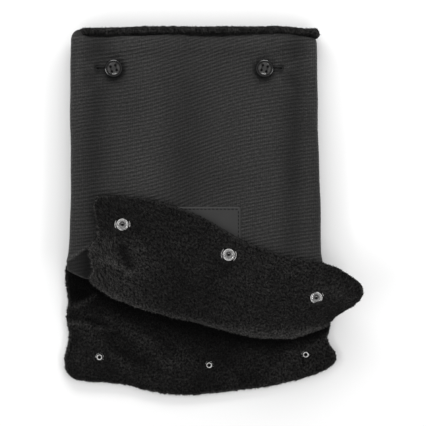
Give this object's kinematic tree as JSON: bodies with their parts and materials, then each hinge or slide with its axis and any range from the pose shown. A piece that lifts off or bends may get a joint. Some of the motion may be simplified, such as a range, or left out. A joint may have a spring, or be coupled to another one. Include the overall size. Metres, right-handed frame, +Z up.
{
  "type": "handlebar hand muff",
  "caption": "Padded fleece-lined hand muff for a stroller handlebar, with side slits, a folding snap flap and two dished buttons at the hand opening.",
  "frame": {"origin": "on the underside of the back panel, midway along the whole length, where the muff lies on a surface", "axes": "+Z up out of the front panel, +Y towards the hand opening, +X to the right seen from the front"},
  "size_m": [0.3062, 0.3773, 0.0402],
  "materials": {
    "outer": "ribbed woven polyester, matte",
    "wadding": "hidden polyester wadding",
    "fleece": "short dense plush pile",
    "thread": "twisted polyester thread",
    "patch": "smooth matte imitation leather, blank",
    "button": "polished black resin",
    "snap_metal": "nickel plated, lightly worn",
    "spring_wire": "bright spring wire"
  },
  "bodies": {
    "root": {"back_outer_shell": "outer", "back_padding": "wadding", "back_fleece_lining": "fleece", "front_outer_shell": "outer", "front_padding": "wadding", "front_fleece_lining": "fleece", "side_seam_thread_left": "thread", "side_seam_thread_right": "thread", "buttonhole_stitching_left": "thread", "buttonhole_stitching_right": "thread", "button_thread_left": "thread", "button_thread_right": "thread", "label_patch": "patch", "patch_stitching": "thread"},
    "front_flap": {"front_flap_shell": "outer", "front_flap_padding": "wadding", "front_flap_fleece": "fleece", "snap_socket_left": "snap_metal", "snap_socket_middle": "snap_metal", "snap_socket_right": "snap_metal", "snap_spring_left": "spring_wire", "snap_spring_middle": "spring_wire", "snap_spring_right": "spring_wire", "snap_cap_left": "snap_metal", "snap_cap_middle": "snap_metal", "snap_cap_right": "snap_metal"},
    "back_flap": {"back_flap_shell": "outer", "back_flap_padding": "wadding", "back_flap_fleece": "fleece", "snap_stud_left": "snap_metal", "snap_stud_middle": "snap_metal", "snap_stud_right": "snap_metal", "snap_post_left": "snap_metal", "snap_post_middle": "snap_metal", "snap_post_right": "snap_metal"},
    "button_left": {"button_left": "button"},
    "button_right": {"button_right": "button"}
  },
  "joints": [
    {"name": "front_flap_fold", "type": "hinge", "parent": "root", "child": "front_flap", "pos_m": [0, -0.099, 0.0231], "axis": [0.9848, -0.1736, 0], "range_deg": [0, 179.9]},
    {"name": "back_flap_fold", "type": "hinge", "parent": "root", "child": "back_flap", "pos_m": [0, -0.05215, 0], "axis": [1, 0, 0], "range_deg": [0, 80]},
    {"name": "button_left_tilt", "type": "hinge", "parent": "root", "child": "button_left", "pos_m": [-0.0843, 0.1458, 0.0337], "axis": [1, 0, 0], "range_deg": [-8, 8], "stiffness_Nm_per_rad": 0.001},
    {"name": "button_right_tilt", "type": "hinge", "parent": "root", "child": "button_right", "pos_m": [0.0711, 0.1458, 0.0337], "axis": [1, 0, 0], "range_deg": [-8, 8], "stiffness_Nm_per_rad": 0.001}
  ]
}
